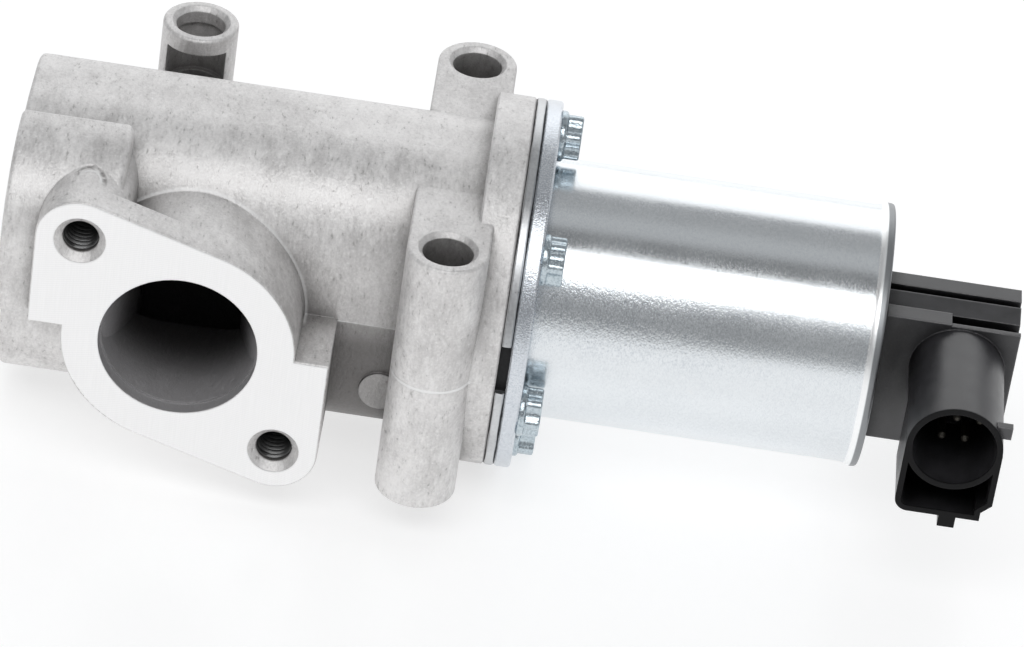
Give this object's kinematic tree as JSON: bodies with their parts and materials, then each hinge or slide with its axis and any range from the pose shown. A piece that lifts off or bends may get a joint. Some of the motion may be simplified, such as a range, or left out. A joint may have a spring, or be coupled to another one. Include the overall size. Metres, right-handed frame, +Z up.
{
  "type": "egr valve",
  "caption": "Solenoid-driven poppet valve that meters exhaust gas to an engine's intake: cast housing with flanged side outlet, steel can and position-sensor head with a round socket.",
  "frame": {"origin": "middle of the gas outlet port in the outlet flange's machined face", "axes": "+X along the valve axis from the gas inlet to the connector head, +Y from the outlet face into the housing, +Z up along the mounting bosses"},
  "size_m": [0.192, 0.0814, 0.0712],
  "materials": {
    "cast_aluminium": "die-cast, as cast, machined faces",
    "seat_steel": "turned",
    "valve_steel": "turned",
    "bush_bronze": "turned",
    "seal_rubber": "moulded",
    "spring_steel": "drawn wire",
    "gasket_steel": "rolled",
    "plate_steel": "zinc plated",
    "screw_steel": "zinc plated",
    "can_steel": "drawn and zinc plated",
    "core_iron": "turned and plated",
    "sleeve_steel": "ground",
    "bobbin_plastic": "moulded",
    "winding_copper": "enamelled wire",
    "contact_metal": "tin plated",
    "head_plastic": "moulded, satin",
    "slider_plastic": "moulded",
    "track_board": "printed carbon track"
  },
  "bodies": {
    "housing": {"valve_housing": "cast_aluminium", "seat_ring": "seat_steel", "stem_guide": "bush_bronze", "stem_scraper": "seal_rubber", "spring_seat": "spring_steel", "return_spring": "spring_steel", "housing_gasket": "gasket_steel", "mounting_plate": "plate_steel", "plate_screws": "screw_steel", "solenoid_can": "can_steel", "pole_piece": "core_iron", "pole_seal": "seal_rubber", "core_bush": "bush_bronze", "armature_sleeve": "sleeve_steel", "rear_bush": "bush_bronze", "end_yoke": "core_iron", "coil_bobbin": "bobbin_plastic", "coil_winding": "winding_copper", "coil_leads": "contact_metal", "head_seal": "seal_rubber", "sensor_head": "head_plastic", "sensor_cover": "head_plastic", "connector_pins": "contact_metal", "sensor_spring": "spring_steel", "resistive_track": "track_board"},
    "poppet": {"poppet_valve": "valve_steel", "spring_retainer": "valve_steel", "valve_keepers": "valve_steel"},
    "armature": {"armature": "core_iron", "push_rod": "sleeve_steel"},
    "sensor_slider": {"sensor_plunger": "slider_plastic", "wiper": "contact_metal"}
  },
  "joints": [
    {"name": "armature_slide", "type": "slide", "parent": "housing", "child": "armature", "axis": [-1, 0, 0], "range_m": [0, 0.006]},
    {"name": "poppet_lift", "type": "slide", "parent": "housing", "child": "poppet", "axis": [-1, 0, 0], "range_m": [0, 0.006], "stiffness_N_per_m": 2500, "springref_m": -0.006, "deforming": ["return_spring"]},
    {"name": "sensor_slide", "type": "slide", "parent": "housing", "child": "sensor_slider", "axis": [-1, 0, 0], "range_m": [0, 0.006], "stiffness_N_per_m": 100, "deforming": ["sensor_spring"]}
  ],
  "couplings": [
    {"joint": "poppet_lift", "follows": "armature_slide", "ratio": 1},
    {"joint": "sensor_slide", "follows": "armature_slide", "ratio": 1}
  ]
}
